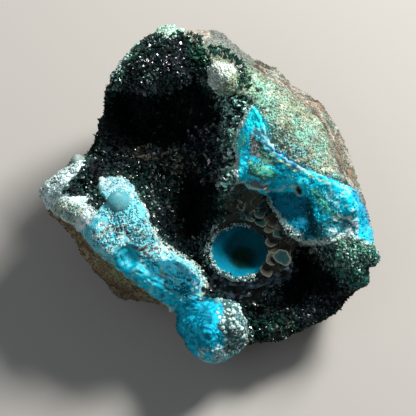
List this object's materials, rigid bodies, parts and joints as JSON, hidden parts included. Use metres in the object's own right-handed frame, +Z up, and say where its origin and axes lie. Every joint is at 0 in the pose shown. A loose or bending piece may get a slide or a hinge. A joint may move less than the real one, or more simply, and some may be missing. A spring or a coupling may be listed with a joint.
{
  "type": "azurite, malachite and chrysocolla mineral specimen",
  "caption": "Hand-sized natural copper mineral specimen: brown layered rock with a hollow lined with dark crystals and turquoise crusts, resting on a flat base.",
  "frame": {"origin": "on the flat base, under the middle of the specimen's box", "axes": "+Z up, square to the flat base; +X to the right and +Y away from someone who looks down on the open face with the tongue of crust towards them"},
  "size_m": [0.1126, 0.1088, 0.0599],
  "materials": {
    "rock": "matte, rough, layered",
    "dark_crystals": "glossy crystal faces",
    "turquoise_crust": "matte, knobbly",
    "turquoise_vein": "waxy, slightly glossy",
    "turquoise_cup": "smooth, waxy"
  },
  "bodies": {
    "root": {"matrix_rock": "rock", "crystal_crust": "dark_crystals", "chrysocolla_crust": "turquoise_crust", "chrysocolla_ledge": "turquoise_vein", "chrysocolla_cup": "turquoise_cup"}
  },
  "joints": []
}
